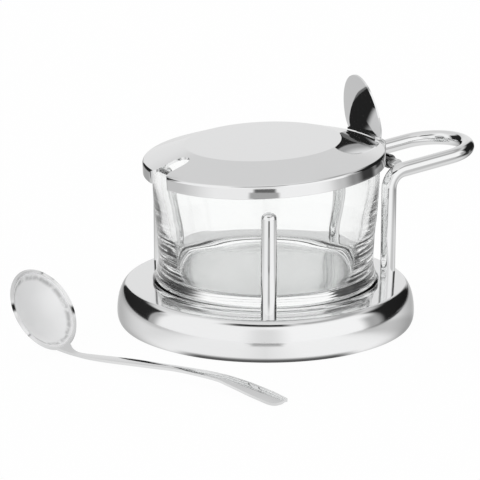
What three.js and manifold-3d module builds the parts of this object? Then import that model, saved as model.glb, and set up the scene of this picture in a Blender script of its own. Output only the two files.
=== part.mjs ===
// Parmesan dish: a spun base carries a glass bowl, two pegs and a bent rod handle. The lid turns on a
// bar between the handle's rods, opened by a thumb lever. A spoon lies beside the dish.
// Millimetres, +Z up. Origin: the base's centre on the table. +X runs from there along the handle.
import * as THREE from 'three';
import { mergeVertices } from 'three/addons/utils/BufferGeometryUtils.js';
import Module from 'manifold-3d';

const wasm = await Module();
wasm.setup();

const degrees = THREE.MathUtils.degToRad;
const quarterTurn = Math.PI / 2;

// Gaps between pieces
const seatGap = 0.3; // between the lid and the glass that it rests on
const weldGap = 0.2; // between welded pieces
const holeGap = 0.3; // round a stud in the base
const threadGap = 0.1; // round a stud in its nut or washer
const plateGap = 0.3; // round the bottom plate
const barrelGap = 0.1; // round the hinge bar in its barrel
const overrun = 2; // how far a cutting shape runs past what it cuts

// Glass bowl
const glassHeight = 49.6;
const glassRimRadius = 45;
const glassWaistRadius = 42.9;
const glassWaistHeight = 10;
const glassFlareRadius = 45.15; // the widest part, just above the underside
const glassFlareHeight = 1.25;
const glassFootRadius = 43.4; // outer edge of the ring that it stands on
const glassFootWidth = 2;
const glassRecess = 0.5; // hollow inside that ring
const glassFloor = 2.85;
const glassLowWall = 6.2;
const glassRimWall = 2.8;
const glassInnerCorner = 2.2;
const glassWaistShares = [[0.43, 0.73], [1, 1]]; // height, narrowing
// Each row: height, widening
const glassWallShares = [[0.15, 0.14], [0.3, 0.29], [0.45, 0.57], [0.68, 0.86], [0.88, 0.98]];

// Rods
const rodRadius = 3;
const pegGap = 1; // from the widest part of the glass to a peg
const pegAngle = degrees(119.56); // each side of the handle
const pegHeight = 40.45;
const pegDome = 2.6;
const legGap = 2.4; // from there to a handle leg
const legStraight = 34.7;
const legBend = 7;
const loopRadius = 15.93; // of the loop's centre line, which is also half the legs' spacing
const loopStraight = 23.76;
const handleRise = degrees(6.5);

// Studs and nuts inside the base
const studRadius = 1.5;
const studEnd = 1;
const washerRadius = 3.5;
const washerSheet = 0.5;
const nutAcross = 5.5;
const nutSides = 6;
const nutHeight = 2.4;

// Base
const baseHeight = 16.05;
const baseSheet = 1;
const baseTopMargin = 0.49; // flat top outside the leg washers
const baseBulge = 4.9;
const baseWideHeight = 4.2;
const baseFootTuck = 1.88;
const baseLip = 1.2;
const plateSheet = 1;

// Lid
const lidSheet = 1;
const lidGap = 1.95; // from the glass rim to the skirt's inside
const lidShift = -1.04; // of the lid's axis along the handle
const lidTilt = degrees(3); // hinge side up
const lidSkirt = 4.88;
const lidShoulder = 1;
const lidShoulderRise = 0.5;
const lidSlopeWidth = 15.95;
const lidRise = 4.95;
const slotLength = 14.05;
const slotWidth = 8;
const slotMouthRound = 3.4;

// Hinge
const barRadius = 2;
const barAlong = 0.3; // from the leg's bend along the rods
const barLift = 1.6; // above the rods' centre lines
const strapWidth = 14;
const strapSheet = 0.8;
const strapBend = 2.5;
const barrelTurn = degrees(280);

// Thumb lever
const leverSheet = 0.8;
const leverOverhang = 0.14; // of the leaf's back past the lid's rim
const leverLean = degrees(11.05); // from upright, towards the lid's centre
const leafHeight = 24.7;
const leafWideHeight = 5.4;
const leafWidth = 25.4;
const leafFootWidth = 22.7;
const leafBulge = 0.8; // of its middle towards the lid's centre
const leafMiddleShare = 0.4; // of the height, where the leaf bulges most
const footLength = 2;
const footCorner = 1;

// Spoon
const dishRadius = 16.05;
const dishDepth = 6.5;
const spoonSheet = 1.2;
const dishLean = degrees(56.6); // of the dish's rim from level
const dishTurn = degrees(-3);
const dishLap = 3.7; // how far the handle runs into the dish
const stripSheet = 1;
const stripLength = 102.3;
const stripDip = 2.1; // of the neck, below the dish's lowest rim
const stripArch = 2.3; // of the handle's highest point, above that rim
const stripTipDrop = 1.5; // of the tip, below that rim
const stripWidth = 9.3;
const stripCrown = 1.2;
const spoonX = -90.04;
const spoonY = 0.01;
const spoonHeading = degrees(-65.55);
const lapShares = [[-1, 1.1], [0, 0.8]]; // of the lap along, width
// Each row: along, height within its stretch, width, crown
const neckShares = [[0.032, 0.66, 0.42, 0], [0.071, 1, 0.28, 0]];
const archShares = [
  [0.14, 0.09, 0.46, 0.1],
  [0.237, 0.3, 0.59, 0.2],
  [0.335, 0.5, 0.6, 0.2],
  [0.433, 0.66, 0.5, 0.2],
  [0.531, 0.84, 0.45, 0.2],
  [0.628, 0.95, 0.54, 0.3],
  [0.726, 1, 0.66, 0.5],
];
const tipShares = [
  [0.775, 0.085, 0.79, 0.7],
  [0.824, 0.22, 0.91, 0.85],
  [0.873, 0.41, 0.98, 1],
  [0.922, 0.63, 1, 1],
  [0.957, 0.81, 0.96, 1],
  [0.98, 0.92, 0.83, 0.8],
  [0.993, 0.98, 0.58, 0.45],
  [1, 1, 0.3, 0.2],
];

// Facets
const roundSteps = 48;
const smallSteps = 16;
const arcSteps = 6;
const rodSides = 12;
const rodSteps = 100;
const barSides = 24;
const barrelSteps = 28;
const dishSteps = 72;
const leafRings = 3;
const leafSteps = 24;
const stripSteps = 4; // across half the spoon's handle

// Places that follow from the sizes above
const glassReach = Math.max(glassRimRadius, glassWaistRadius, glassFlareRadius);
const pegRadius = glassReach + pegGap + rodRadius;
const legRadius = glassReach + legGap + rodRadius;
const legX = Math.sqrt(legRadius ** 2 - loopRadius ** 2);
const baseTopRadius = legRadius + washerRadius + baseTopMargin;
const baseWideRadius = baseTopRadius + baseBulge;
const baseFootRadius = baseWideRadius - baseFootTuck;
const washerTop = baseHeight - baseSheet;
const nutTop = washerTop - washerSheet;
const studFoot = nutTop - nutHeight - studEnd;
const bendEndX = legX + legBend * (1 - Math.sin(handleRise));
const bendEndZ = baseHeight + legStraight + legBend * Math.cos(handleRise);
const barX = bendEndX + barAlong * Math.cos(handleRise) - barLift * Math.sin(handleRise);
const barZ = bendEndZ + barAlong * Math.sin(handleRise) + barLift * Math.cos(handleRise);
const lidRadius = glassRimRadius + lidGap + lidSheet;
const coneFoot = lidRadius - lidShoulder;
const plateauRadius = coneFoot - lidSlopeWidth;
const coneRatio = lidRise / lidSlopeWidth;
const coneAngle = Math.atan(coneRatio);
const coneSheet = lidSheet / Math.cos(coneAngle);

// The lid's height at its axis: its underside rests on the glass rim opposite the hinge.
const rimRound = glassRimWall / 2;
const rimCentreX = rimRound - glassRimRadius - lidShift;
const rimCentreZ = baseHeight + glassHeight - rimRound;
const underApex = lidShoulderRise + coneFoot * coneRatio - coneSheet;
const underClear = (rimRound + seatGap) / Math.cos(coneAngle);
const rimPull = coneRatio * Math.cos(lidTilt) + Math.sin(lidTilt);
const rimFall = Math.cos(lidTilt) - coneRatio * Math.sin(lidTilt);
const lidZ = rimCentreZ - (underApex - underClear + rimCentreX * rimPull) / rimFall;

// Height of the lid's slope over its rim plane
function coneHeight(radius) {
  return lidShoulderRise + (coneFoot - radius) * coneRatio;
}

function at(x, y) {
  return new THREE.Vector2(x, y);
}

// Points on an arc, both ends included
function arc(x, y, radiusX, radiusY, from, to, steps) {
  const points = [];
  for (let i = 0; i <= steps; i += 1) {
    const angle = from + ((to - from) * i) / steps;
    points.push(at(x + radiusX * Math.cos(angle), y + radiusY * Math.sin(angle)));
  }
  return points;
}

// One closed surface with shared corners, no empty triangles, and its faces pointing out
function closed(source) {
  const bare = source.clone();
  bare.deleteAttribute('normal');
  bare.deleteAttribute('uv');
  const merged = mergeVertices(bare);
  const position = merged.attributes.position;
  const corners = [0, 1, 2].map(() => new THREE.Vector3());
  const index = [];
  let volume = 0;
  for (let i = 0; i < merged.index.count; i += 3) {
    const face = [0, 1, 2].map((k) => merged.index.getX(i + k));
    if (new Set(face).size === 3) {
      face.forEach((vertex, k) => corners[k].fromBufferAttribute(position, vertex));
      volume += corners[0].dot(corners[1].clone().cross(corners[2]));
      index.push(face);
    }
  }
  const facing = volume < 0 ? index.map((face) => face.reverse()) : index;
  merged.setIndex(facing.flat());
  return merged;
}

function spin(profile, steps) {
  return closed(new THREE.LatheGeometry(profile, steps).rotateX(quarterTurn));
}

function prism(outline, depth) {
  return new THREE.ExtrudeGeometry(new THREE.Shape(outline), { depth, bevelEnabled: false });
}

function toSolid(geometry) {
  const mesh = closed(geometry);
  const vertProperties = new Float32Array(mesh.attributes.position.array);
  const triVerts = new Uint32Array(mesh.index.array);
  return new wasm.Manifold(new wasm.Mesh({ numProp: 3, vertProperties, triVerts }));
}

function fromSolid(solid) {
  const mesh = solid.getMesh();
  const geometry = new THREE.BufferGeometry();
  geometry.setAttribute('position', new THREE.BufferAttribute(mesh.vertProperties, 3));
  geometry.setIndex(new THREE.BufferAttribute(mesh.triVerts, 1));
  return geometry;
}

function steel(color, roughness) {
  return new THREE.MeshStandardMaterial({ color, roughness, metalness: 1 });
}

function piece(name, geometry, material) {
  const mesh = new THREE.Mesh(geometry, material);
  mesh.name = name;
  return mesh;
}

// Where the pegs and the handle's legs stand
const pegPlaces = {
  peg_front: at(pegRadius * Math.cos(pegAngle), -pegRadius * Math.sin(pegAngle)),
  peg_back: at(pegRadius * Math.cos(pegAngle), pegRadius * Math.sin(pegAngle)),
};
const legPlaces = {
  leg_front: at(legX, -loopRadius),
  leg_back: at(legX, loopRadius),
};
const studPlaces = { ...pegPlaces, ...legPlaces };

// Spun base: flat top, swelling side, curled foot and an inward lip
function baseShell() {
  const topInner = baseHeight - baseSheet;
  const sideRise = baseHeight - baseWideHeight;
  const lipRadius = baseFootRadius - baseLip;
  const profile = [
    at(0, baseHeight),
    ...arc(baseTopRadius, baseWideHeight, baseBulge, sideRise, quarterTurn, 0, arcSteps),
    ...arc(baseFootRadius, baseWideHeight, baseFootTuck, baseWideHeight, 0, -quarterTurn, arcSteps).slice(1),
    at(lipRadius, 0),
    at(lipRadius, baseSheet),
    ...arc(baseFootRadius, baseWideHeight, baseFootTuck - baseSheet, baseWideHeight - baseSheet,
      -quarterTurn, 0, arcSteps),
    ...arc(baseTopRadius, baseWideHeight, baseBulge - baseSheet, topInner - baseWideHeight,
      0, quarterTurn, arcSteps).slice(1),
    at(0, topInner),
  ];
  const drill = new THREE.CylinderGeometry(studRadius + holeGap, studRadius + holeGap,
    baseSheet + overrun, smallSteps).rotateX(quarterTurn);
  let shell = toSolid(spin(profile, roundSteps));
  for (const place of Object.values(studPlaces)) {
    shell = shell.subtract(toSolid(drill.clone().translate(place.x, place.y, baseHeight - baseSheet / 2)));
  }
  return fromSolid(shell);
}

function bottomPlate() {
  const radius = baseFootRadius - baseLip - plateGap;
  return spin([at(0, 0), at(radius, 0), at(radius, plateSheet), at(0, plateSheet)], roundSteps);
}

// Round-topped rod with a thinner stud below
function peg() {
  const top = baseHeight + pegHeight;
  const profile = [
    at(0, studFoot),
    at(studRadius, studFoot),
    at(studRadius, baseHeight),
    at(rodRadius, baseHeight),
    ...arc(0, top - pegDome, rodRadius, pegDome, 0, quarterTurn, arcSteps).slice(0, -1),
    at(0, top),
  ];
  return spin(profile, smallSteps);
}

function washer() {
  const bore = studRadius + threadGap;
  const profile = [
    at(bore, nutTop),
    at(washerRadius, nutTop),
    at(washerRadius, washerTop),
    at(bore, washerTop),
    at(bore, nutTop),
  ];
  return spin(profile, smallSteps);
}

function nut() {
  const corner = nutAcross / 2 / Math.cos(Math.PI / nutSides);
  const outline = new THREE.Shape(arc(0, 0, corner, corner, 0, 2 * Math.PI, nutSides).slice(0, -1));
  const bore = studRadius + threadGap;
  outline.holes.push(new THREE.Path(arc(0, 0, bore, bore, 0, 2 * Math.PI, smallSteps).slice(0, -1)));
  const body = new THREE.ExtrudeGeometry(outline, { depth: nutHeight, bevelEnabled: false });
  return closed(body.translate(0, 0, nutTop - nutHeight));
}

// A bend from one direction to another, both given as unit vectors from its centre
class Bend extends THREE.Curve {
  constructor(centre, first, second, radius, turn) {
    super();
    Object.assign(this, { centre, first, second, radius, turn });
  }

  getPoint(share, target = new THREE.Vector3()) {
    const angle = this.turn * share;
    return target.copy(this.centre)
      .addScaledVector(this.first, this.radius * Math.cos(angle))
      .addScaledVector(this.second, this.radius * Math.sin(angle));
  }
}

// One bent rod: up the front leg, out and round the loop, and down the back leg, with a stud at each end
function handleRod() {
  const along = new THREE.Vector3(Math.cos(handleRise), 0, Math.sin(handleRise));
  const square = new THREE.Vector3(-Math.sin(handleRise), 0, Math.cos(handleRise));
  const back = new THREE.Vector3(-1, 0, 0);
  const up = new THREE.Vector3(0, 0, 1);
  const front = new THREE.Vector3(0, -1, 0);
  const bendTurn = quarterTurn - handleRise;
  const side = (y) => ({
    foot: new THREE.Vector3(legX, y, baseHeight),
    knee: new THREE.Vector3(legX, y, baseHeight + legStraight),
    bend: new THREE.Vector3(legX + legBend, y, baseHeight + legStraight),
    start: new THREE.Vector3(bendEndX, y, bendEndZ),
    end: new THREE.Vector3(bendEndX, y, bendEndZ).addScaledVector(along, loopStraight),
  });
  const near = side(-loopRadius);
  const far = side(loopRadius);
  const loopCentre = near.end.clone().setY(0);
  const path = new THREE.CurvePath();
  path.add(new THREE.LineCurve3(near.foot, near.knee));
  path.add(new Bend(near.bend, back, up, legBend, bendTurn));
  path.add(new THREE.LineCurve3(near.start, near.end));
  path.add(new Bend(loopCentre, front, along, loopRadius, Math.PI));
  path.add(new THREE.LineCurve3(far.end, far.start));
  path.add(new Bend(far.bend, square, along.clone().negate(), legBend, bendTurn));
  path.add(new THREE.LineCurve3(far.knee, far.foot));
  const section = new THREE.Shape(arc(0, 0, rodRadius, rodRadius, 0, 2 * Math.PI, rodSides).slice(0, -1));
  const rod = new THREE.ExtrudeGeometry(section, { steps: rodSteps, extrudePath: path });
  const length = baseHeight + overrun - studFoot;
  const stud = new THREE.CylinderGeometry(studRadius, studRadius, length, smallSteps).rotateX(quarterTurn);
  let solid = toSolid(rod);
  for (const place of Object.values(legPlaces)) {
    solid = solid.add(toSolid(stud.clone().translate(place.x, place.y, studFoot + length / 2)));
  }
  return fromSolid(solid);
}

function hingeBar() {
  const length = 2 * (loopRadius - rodRadius - weldGap);
  return closed(new THREE.CylinderGeometry(barRadius, barRadius, length, barSides).translate(barX, 0, barZ));
}

// Bowl: ring foot, flare, waist, and a wall that thins as it widens to a round rim
function glassBowl() {
  const innerFoot = glassFootRadius - glassFootWidth;
  const flareRound = glassFlareRadius - glassFootRadius;
  const narrowing = glassFlareRadius - glassWaistRadius;
  const waistRise = glassWaistHeight - glassFlareHeight;
  const widening = glassRimRadius - glassWaistRadius;
  const wallRise = glassHeight - rimRound - glassWaistHeight;
  const floorRadius = glassWaistRadius - glassLowWall - glassInnerCorner;
  const innerRim = glassRimRadius - glassRimWall;
  const innerWiden = innerRim - (glassWaistRadius - glassLowWall);
  const innerLow = glassFloor + glassInnerCorner;
  const innerRise = glassHeight - rimRound - innerLow;
  const profile = [
    at(0, glassRecess),
    at(innerFoot - glassRecess, glassRecess),
    at(innerFoot, 0),
    ...arc(glassFootRadius, glassFlareHeight, flareRound, glassFlareHeight, -quarterTurn, 0, arcSteps / 2),
    ...glassWaistShares.map(([height, share]) =>
      at(glassFlareRadius - narrowing * share, glassFlareHeight + waistRise * height)),
    ...glassWallShares.map(([height, share]) =>
      at(glassWaistRadius + widening * share, glassWaistHeight + wallRise * height)),
    ...arc(glassRimRadius - rimRound, glassHeight - rimRound, rimRound, rimRound, 0, Math.PI, arcSteps),
    ...glassWallShares.slice().reverse().map(([height, share]) =>
      at(innerRim - innerWiden * (1 - share), innerLow + innerRise * height)),
    ...arc(floorRadius, innerLow, glassInnerCorner, glassInnerCorner, 0, -quarterTurn, arcSteps / 2),
    at(0, glassFloor),
  ];
  return spin(profile, roundSteps).translate(0, 0, baseHeight);
}

// Outline of the spoon slot, open at the lid's rim, with a round end and rounded mouth corners
function slotOutline() {
  const half = slotWidth / 2;
  const mouthHalf = half + slotMouthRound;
  const endX = slotLength - lidRadius - half;
  const mouthX = slotMouthRound - Math.sqrt(lidRadius ** 2 - mouthHalf ** 2);
  const round = slotMouthRound;
  const upper = [
    ...arc(endX, 0, half, half, 0, quarterTurn, arcSteps),
    ...arc(mouthX, mouthHalf, round, round, -quarterTurn, -Math.PI, arcSteps),
    at(-lidRadius - overrun, mouthHalf),
  ];
  const lower = upper.slice(1).reverse().map((point) => at(point.x, -point.y));
  return [...upper, ...lower];
}

// Pressed lid: flat raised middle, sloping band, rounded shoulder and a plain skirt, less the slot
function lidShell() {
  const inner = lidRadius - lidSheet;
  const underTop = lidShoulderRise + lidRise - lidSheet;
  const underRadius = coneFoot - (underTop - lidShoulderRise + coneSheet) / coneRatio;
  const profile = [
    at(0, lidShoulderRise + lidRise),
    at(plateauRadius, lidShoulderRise + lidRise),
    ...arc(coneFoot, 0, lidShoulder, lidShoulderRise, quarterTurn, 0, arcSteps),
    at(lidRadius, -lidSkirt),
    at(inner, -lidSkirt),
    at(inner, coneHeight(inner) - coneSheet),
    at(underRadius, underTop),
    at(0, underTop),
  ];
  const depth = lidSkirt + lidShoulderRise + lidRise + 2 * overrun;
  const slot = prism(slotOutline(), depth).translate(0, 0, -lidSkirt - overrun);
  return fromSolid(toSolid(spin(profile, roundSteps)).subtract(toSolid(slot)));
}

// Outline of the lever's leaf from one bottom corner over the top to the other: across, up
function leafOutline() {
  const half = leafWidth / 2;
  const footHalf = leafFootWidth / 2;
  const lowerRise = leafWideHeight / Math.sqrt(1 - (footHalf / half) ** 2);
  const lowest = Math.asin(leafWideHeight / lowerRise);
  const lower = arc(0, leafWideHeight, half, lowerRise, -lowest, 0, arcSteps / 2);
  const upper = arc(0, leafWideHeight, half, leafHeight - leafWideHeight, 0, Math.PI, leafSteps).slice(1);
  const other = lower.slice(0, -1).reverse().map((point) => at(-point.x, point.y));
  const bottom = [];
  for (let i = 1; i < arcSteps; i += 1) {
    bottom.push(at(-footHalf + (leafFootWidth * i) / arcSteps, 0));
  }
  return [...lower, ...upper, ...other, ...bottom];
}

// Domed leaf: rings shrink from the outline to the middle, which bulges towards -X
function leverLeaf() {
  const outline = leafOutline();
  const middle = at(0, leafHeight * leafMiddleShare);
  const count = outline.length;
  const vertices = [];
  const ring = (share, offset) => {
    const x = offset - leafBulge * (1 - share ** 2);
    for (const point of outline) {
      const place = middle.clone().lerp(point, share);
      vertices.push(x, place.x, place.y);
    }
  };
  for (const offset of [-leverSheet, 0]) {
    for (let i = leafRings; i > 0; i -= 1) {
      ring(i / leafRings, offset);
    }
    vertices.push(offset - leafBulge, middle.x, middle.y);
  }
  const sideSize = leafRings * count + 1;
  const index = [];
  const band = (first, second) => {
    for (let i = 0; i < count; i += 1) {
      const next = (i + 1) % count;
      index.push(first + i, first + next, second + next, first + i, second + next, second + i);
    }
  };
  const cap = (base, flip) => {
    for (let i = 0; i < leafRings - 1; i += 1) {
      const outerRing = base + i * count;
      const innerRing = outerRing + count;
      band(flip ? innerRing : outerRing, flip ? outerRing : innerRing);
    }
    const last = base + (leafRings - 1) * count;
    for (let i = 0; i < count; i += 1) {
      const next = (i + 1) % count;
      index.push(flip ? last + next : last + i, flip ? last + i : last + next, base + sideSize - 1);
    }
  };
  cap(0, true);
  cap(sideSize, false);
  band(0, sideSize);
  const geometry = new THREE.BufferGeometry();
  geometry.setAttribute('position', new THREE.Float32BufferAttribute(vertices, 3));
  geometry.setIndex(index);
  return geometry;
}

// The lever: a foot that follows the lid's slope, and the leaf that rises from the foot's outer edge
function thumbLever() {
  const leverX = lidRadius + leverOverhang;
  const half = leafFootWidth / 2;
  const footStart = leverX - footLength;
  const farthest = Math.hypot(leverX, half) + overrun;
  const nearest = footStart - overrun;
  const lift = weldGap / Math.cos(coneAngle);
  const thick = leverSheet / Math.cos(coneAngle);
  const slopeBand = spin([
    at(nearest, coneHeight(nearest) + lift),
    at(farthest, coneHeight(farthest) + lift),
    at(farthest, coneHeight(farthest) + lift + thick),
    at(nearest, coneHeight(nearest) + lift + thick),
    at(nearest, coneHeight(nearest) + lift),
  ], roundSteps);
  const cornerX = footStart + footCorner;
  const outline = [
    at(leverX, -half),
    at(leverX, half),
    ...arc(cornerX, half - footCorner, footCorner, footCorner, quarterTurn, Math.PI, arcSteps),
    ...arc(cornerX, footCorner - half, footCorner, footCorner, Math.PI, Math.PI + quarterTurn, arcSteps),
  ];
  const depth = 2 * (lidRise + overrun);
  const footCut = toSolid(prism(outline, depth).translate(0, 0, -depth / 2));
  const foot = toSolid(slopeBand).intersect(footCut);
  const lean = leverLean - lidTilt;
  const leaf = leverLeaf().rotateY(-lean);
  leaf.translate(leverX, 0, coneHeight(leverX - leverSheet) + lift + leverSheet * Math.sin(lean));
  return fromSolid(foot.add(toSolid(leaf)));
}

// Hinge strap: leaves the lid's rim, bends down, and is rolled round the bar
function hingeStrap() {
  const half = strapSheet / 2;
  const wrap = barRadius + barrelGap + half;
  const fall = coneAngle - lidTilt;
  const startX = lidShift + lidRadius * Math.cos(lidTilt) + weldGap;
  const startZ = lidZ + lidRadius * Math.sin(lidTilt) - half;
  const bendX = barX - wrap - strapBend;
  const turnX = bendX + strapBend * Math.sin(fall);
  const bendZ = startZ - (turnX - startX) * Math.tan(fall) - strapBend * Math.cos(fall);
  const edge = (offset) => [
    at(startX + offset * Math.sin(fall), startZ + offset * Math.cos(fall)),
    ...arc(bendX, bendZ, strapBend + offset, strapBend + offset, quarterTurn - fall, 0, arcSteps),
    ...arc(barX, barZ, wrap - offset, wrap - offset, Math.PI, Math.PI + barrelTurn, barrelSteps),
  ];
  const outline = [...edge(half), ...edge(-half).reverse()];
  const strap = prism(outline, strapWidth).rotateX(quarterTurn);
  return closed(strap.translate(0, strapWidth / 2, 0));
}

// The sphere that the spoon's dish is a cap of: its radius and its centre, seen from the lowest rim point
const sphereRadius = (dishRadius ** 2 + dishDepth ** 2) / (2 * dishDepth);
const sphereReach = sphereRadius - dishDepth;
const sphereX = sphereReach * Math.sin(dishLean) - dishRadius * Math.cos(dishLean);
const sphereZ = sphereReach * Math.cos(dishLean) + dishRadius * Math.sin(dishLean);
const wallRadius = sphereRadius + spoonSheet / 2;

// The dish's lowest rim point is at the origin, and its hollow side faces +X
function spoonDish() {
  const spread = Math.asin(dishRadius / sphereRadius);
  const outer = sphereRadius + spoonSheet;
  const profile = [
    ...arc(0, sphereReach, sphereRadius, sphereRadius, -quarterTurn, spread - quarterTurn, arcSteps),
    ...arc(0, sphereReach, outer, outer, spread - quarterTurn, -quarterTurn, arcSteps),
  ];
  const cap = spin(profile, dishSteps).rotateX(dishTurn).rotateY(dishLean);
  return cap.translate(-dishRadius * Math.cos(dishLean), 0, dishRadius * Math.sin(dishLean));
}

// Stations along the spoon's handle: distance, height, half width, crown
function stripStations() {
  const half = stripWidth / 2;
  const stations = lapShares.map(([share, width]) => {
    const along = share * dishLap;
    const height = sphereZ - Math.sqrt(wallRadius ** 2 - (along - sphereX) ** 2);
    return [along, height, width * half, -((width * half) ** 2) / (2 * wallRadius)];
  });
  const rim = stations[stations.length - 1][1];
  const stretch = (shares, from, to) => {
    for (const [along, height, width, crown] of shares) {
      stations.push([along * stripLength, from + (to - from) * height, width * half, crown * stripCrown]);
    }
  };
  stretch(neckShares, rim, -stripDip);
  stretch(archShares, -stripDip, stripArch);
  stretch(tipShares, stripArch, -stripTipDrop);
  return stations;
}

// The handle: one crowned section at each station, joined by bands and closed at both ends
function spoonStrip() {
  const vertices = [];
  const index = [];
  const across = 2 * stripSteps + 1;
  const ringSize = 2 * across;
  const stations = stripStations();
  for (const [along, height, half, crown] of stations) {
    for (const side of [1, -1]) {
      for (let j = 0; j < across; j += 1) {
        const share = (side * (j - stripSteps)) / stripSteps;
        vertices.push(along, half * share, height + (side * stripSheet) / 2 - crown * share ** 2);
      }
    }
  }
  for (let i = 0; i < stations.length - 1; i += 1) {
    for (let j = 0; j < ringSize; j += 1) {
      const first = i * ringSize + j;
      const next = i * ringSize + ((j + 1) % ringSize);
      index.push(first, next, next + ringSize, first, next + ringSize, first + ringSize);
    }
  }
  for (const [base, flip] of [[0, true], [(stations.length - 1) * ringSize, false]]) {
    for (let j = 0; j < across - 1; j += 1) {
      const quad = [base + j, base + j + 1, base + ringSize - 2 - j, base + ringSize - 1 - j];
      const [a, b, c, d] = flip ? quad.reverse() : quad;
      index.push(a, b, c, a, c, d);
    }
  }
  const geometry = new THREE.BufferGeometry();
  geometry.setAttribute('position', new THREE.Float32BufferAttribute(vertices, 3));
  geometry.setIndex(index);
  return geometry;
}

function spoon() {
  return fromSolid(toSolid(spoonDish()).add(toSolid(spoonStrip())));
}

const castSteel = steel(0xdcdddf, 0.08);
const rolledSteel = steel(0xd4d6d8, 0.14);
const rodSteel = steel(0xe0e1e3, 0.06);
const plainSteel = steel(0xb9bcc0, 0.35);
const clearGlass = new THREE.MeshStandardMaterial({
  color: 0xeef3f2, roughness: 0.02, metalness: 0, transparent: true, opacity: 0.35,
});
const darkPlate = new THREE.MeshStandardMaterial({ color: 0x2b2c2e, roughness: 0.7, metalness: 0 });

const dish = new THREE.Group();
dish.add(piece('base_shell', baseShell(), castSteel));
dish.add(piece('bottom_plate', bottomPlate(), darkPlate));
dish.add(piece('handle_rod', handleRod(), rodSteel));
dish.add(piece('hinge_bar', hingeBar(), rodSteel.clone()));
dish.add(piece('glass_bowl', glassBowl(), clearGlass));
for (const [name, place] of Object.entries(pegPlaces)) {
  const mesh = piece(name, peg(), rodSteel.clone());
  mesh.position.set(place.x, place.y, 0);
  dish.add(mesh);
}
for (const [name, place] of Object.entries(studPlaces)) {
  const ring = piece(`washer_${name}`, washer(), plainSteel.clone());
  const hexagon = piece(`nut_${name}`, nut(), plainSteel.clone());
  ring.position.set(place.x, place.y, 0);
  hexagon.position.set(place.x, place.y, 0);
  dish.add(ring, hexagon);
}

const lid = new THREE.Group();
lid.position.set(lidShift, 0, lidZ);
lid.rotation.y = -lidTilt;
lid.add(piece('lid_shell', lidShell(), rolledSteel));
lid.add(piece('thumb_lever', thumbLever(), castSteel.clone()));
dish.add(lid);
dish.add(piece('hinge_strap', hingeStrap(), rolledSteel.clone()));

// The spoon rests on the table, so its lowest point is at zero height.
const spoonMesh = piece('spoon', spoon(), castSteel.clone());
spoonMesh.geometry.computeBoundingBox();
const spoonGroup = new THREE.Group();
spoonGroup.position.set(spoonX, spoonY, -spoonMesh.geometry.boundingBox.min.z);
spoonGroup.rotation.z = spoonHeading;
spoonGroup.add(spoonMesh);
dish.add(spoonGroup);

export default dish;
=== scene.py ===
import math

import bmesh
import bpy
from mathutils import Matrix, Vector


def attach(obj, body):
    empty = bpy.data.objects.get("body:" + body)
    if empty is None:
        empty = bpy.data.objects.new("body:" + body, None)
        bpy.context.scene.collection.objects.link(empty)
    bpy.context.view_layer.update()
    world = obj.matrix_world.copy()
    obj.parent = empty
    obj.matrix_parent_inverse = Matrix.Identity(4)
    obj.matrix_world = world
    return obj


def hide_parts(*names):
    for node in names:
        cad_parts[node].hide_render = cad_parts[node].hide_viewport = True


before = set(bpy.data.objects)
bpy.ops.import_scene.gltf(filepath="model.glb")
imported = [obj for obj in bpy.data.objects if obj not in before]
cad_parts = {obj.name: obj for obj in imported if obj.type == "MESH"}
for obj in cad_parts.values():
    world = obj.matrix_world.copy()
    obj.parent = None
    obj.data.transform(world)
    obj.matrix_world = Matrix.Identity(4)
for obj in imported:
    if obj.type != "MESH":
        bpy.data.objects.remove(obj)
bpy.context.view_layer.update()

MM = 0.001
TURN = 2 * math.pi
QUARTER = math.pi / 2

# Sizes in millimetres, as in the part. Pairs of shares give an outline, with more points than the
# part has: the first is the share of its height, the second of its change in radius.
GLASS_HEIGHT = 49.6
GLASS_RIM_RADIUS = 45
GLASS_WAIST_RADIUS = 42.9
GLASS_WAIST_HEIGHT = 10
GLASS_FLARE_RADIUS = 45.15
GLASS_FLARE_HEIGHT = 1.25
GLASS_FOOT_RADIUS = 43.4
GLASS_FOOT_WIDTH = 2
GLASS_RECESS = 0.5
GLASS_FLOOR = 2.85
GLASS_LOW_WALL = 6.2
GLASS_RIM_WALL = 2.8
GLASS_INNER_CORNER = 2.2
GLASS_WAIST_SHARES = [(0, 0), (0.2, 0.42), (0.43, 0.73), (0.7, 0.92), (1, 1)]
GLASS_WALL_SHARES = [
    (0, 0), (0.15, 0.14), (0.3, 0.29), (0.45, 0.57), (0.68, 0.86), (0.88, 0.98), (1, 1),
]
GLASS_INSIDE_SHARES = [(0, 0), (0.1, 0.1), (0.25, 0.3), (0.5, 0.66), (0.75, 0.92), (1, 1)]

ROD_RADIUS = 3
PEG_RADIUS = 49.15
PEG_ANGLE = math.radians(119.56)
PEG_HEIGHT = 40.45
PEG_DOME = 2.6
LEG_RADIUS = 50.55
LEG_STRAIGHT = 34.7
LEG_BEND = 7
LOOP_RADIUS = 15.93
LOOP_STRAIGHT = 23.76
HANDLE_RISE = math.radians(6.5)

BASE_HEIGHT = 16.05
BASE_SHEET = 1
BASE_TOP_RADIUS = 54.54
BASE_BULGE = 4.9
BASE_WIDE_HEIGHT = 4.2
BASE_FOOT_TUCK = 1.88
BASE_LIP = 1.2

LID_SHEET = 1
LID_RADIUS = 47.95
LID_SHIFT = -1.04
LID_TILT = math.radians(3)
LID_HEIGHT = 67.48
LID_SKIRT = 4.88
LID_SHOULDER = 1
LID_SHOULDER_RISE = 0.5
LID_SLOPE_WIDTH = 15.95
LID_RISE = 4.95
SLOT_LENGTH = 14.05
SLOT_WIDTH = 8
SLOT_MOUTH_ROUND = 3.4

BAR_RADIUS = 2
BAR_ALONG = 0.3
BAR_LIFT = 1.6
BARREL_GAP = 0.1
WELD_GAP = 0.2
STRAP_WIDTH = 14
STRAP_SHEET = 0.8
STRAP_BEND = 2.5
BARREL_TURN = math.radians(280)

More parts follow.
